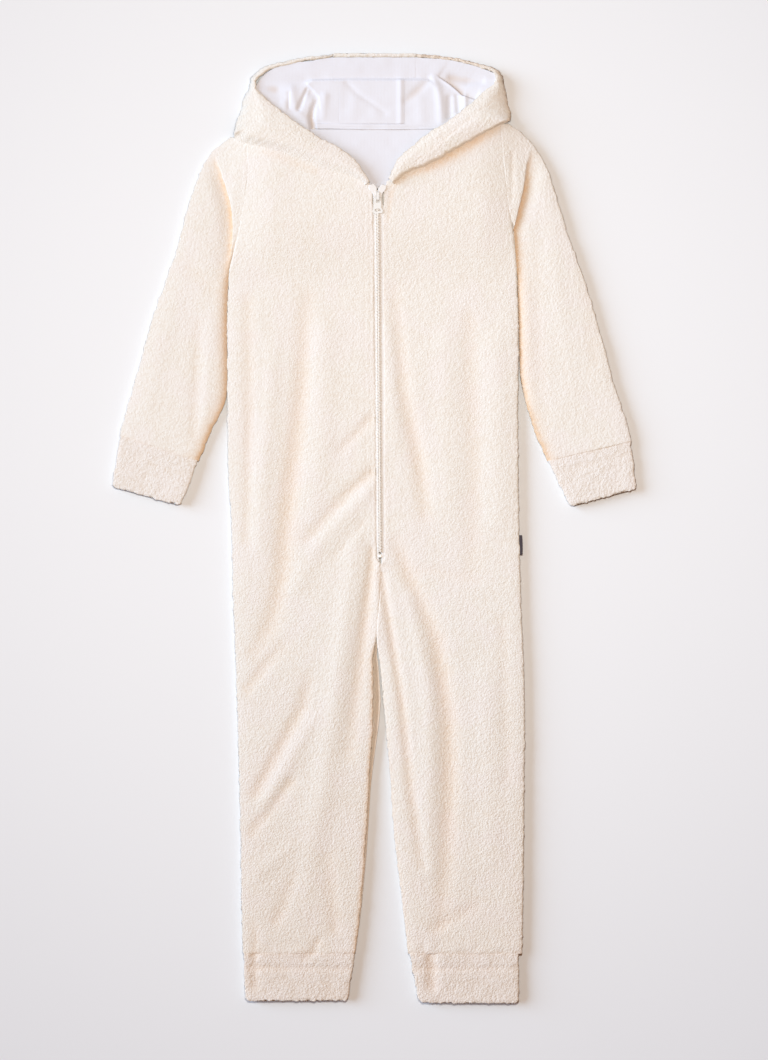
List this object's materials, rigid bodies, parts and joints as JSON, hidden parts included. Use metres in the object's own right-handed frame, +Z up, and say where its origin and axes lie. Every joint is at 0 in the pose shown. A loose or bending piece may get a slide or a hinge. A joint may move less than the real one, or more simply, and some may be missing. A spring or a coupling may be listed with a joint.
{
  "type": "onesie pajama",
  "caption": "Child's hooded zip onesie in cream teddy cloth with a white jersey hood lining, laid flat on its back.",
  "frame": {"origin": "on the surface that the garment lies on, under the middle of its bounding box", "axes": "+X towards the wearer's left sleeve, +Y from the feet to the hood, +Z up from the surface"},
  "size_m": [0.5246, 0.9489, 0.0218],
  "materials": {
    "teddy": "nubby bouclé pile, matt",
    "jersey": "smooth fine knit, matt",
    "zip_tape": "woven tape, matt",
    "zip_nylon": "satin nylon coil",
    "zip_metal": "off-white lacquer",
    "label": "woven ribbon, plain"
  },
  "bodies": {
    "garment": {"front_right": "teddy", "front_left": "teddy", "back_right": "teddy", "back_left": "teddy", "sleeve_right": "teddy", "sleeve_left": "teddy", "sleeve_cuff_right": "teddy", "sleeve_cuff_left": "teddy", "leg_cuff_right": "teddy", "leg_cuff_left": "teddy", "hood_right": "teddy", "hood_left": "teddy", "hood_centre": "teddy", "hood_folded_depth": "teddy", "hood_lining_right": "jersey", "hood_lining_left": "jersey", "hood_lining_centre": "jersey", "back_neck_facing": "jersey", "neck_tape": "jersey", "zip_tape_right": "zip_tape", "zip_tape_left": "zip_tape", "zip_coil_right": "zip_nylon", "zip_coil_left": "zip_nylon", "zip_stop": "zip_nylon", "zip_slider": "zip_metal", "side_label": "label"},
    "pull_tab": {"zip_pull_tab": "zip_metal"}
  },
  "joints": [
    {"name": "pull_tab_swing", "type": "hinge", "parent": "garment", "child": "pull_tab", "pos_m": [0.00269, 0.3286, 0.0157], "axis": [-1, 0, 0], "range_deg": [0, 140]}
  ]
}
